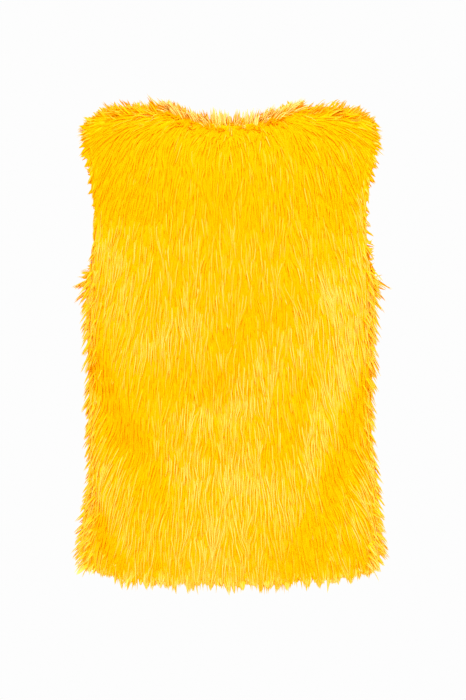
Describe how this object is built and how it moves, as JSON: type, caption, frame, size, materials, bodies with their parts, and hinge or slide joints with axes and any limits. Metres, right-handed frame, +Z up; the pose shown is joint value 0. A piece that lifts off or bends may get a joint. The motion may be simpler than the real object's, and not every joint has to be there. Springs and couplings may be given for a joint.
{
  "type": "faux fur vest",
  "caption": "Sleeveless hip-length garment of long-pile yellow faux fur, filled out as worn: a back and two fronts that hang open down the middle, with a round neckline and large armholes.",
  "frame": {"origin": "where the wearer's shoulders carry the vest: inside it, midway between the shoulder seams, level with their inner face", "axes": "+Z up, -Y out of the open fronts, +X to the wearer's left"},
  "size_m": [0.4107, 0.2699, 0.6378],
  "materials": {
    "back": "long soft pile",
    "front_left": "long soft pile",
    "front_right": "long soft pile"
  },
  "bodies": {
    "root": {"back": "back", "front_left": "front_left", "front_right": "front_right"}
  },
  "joints": []
}
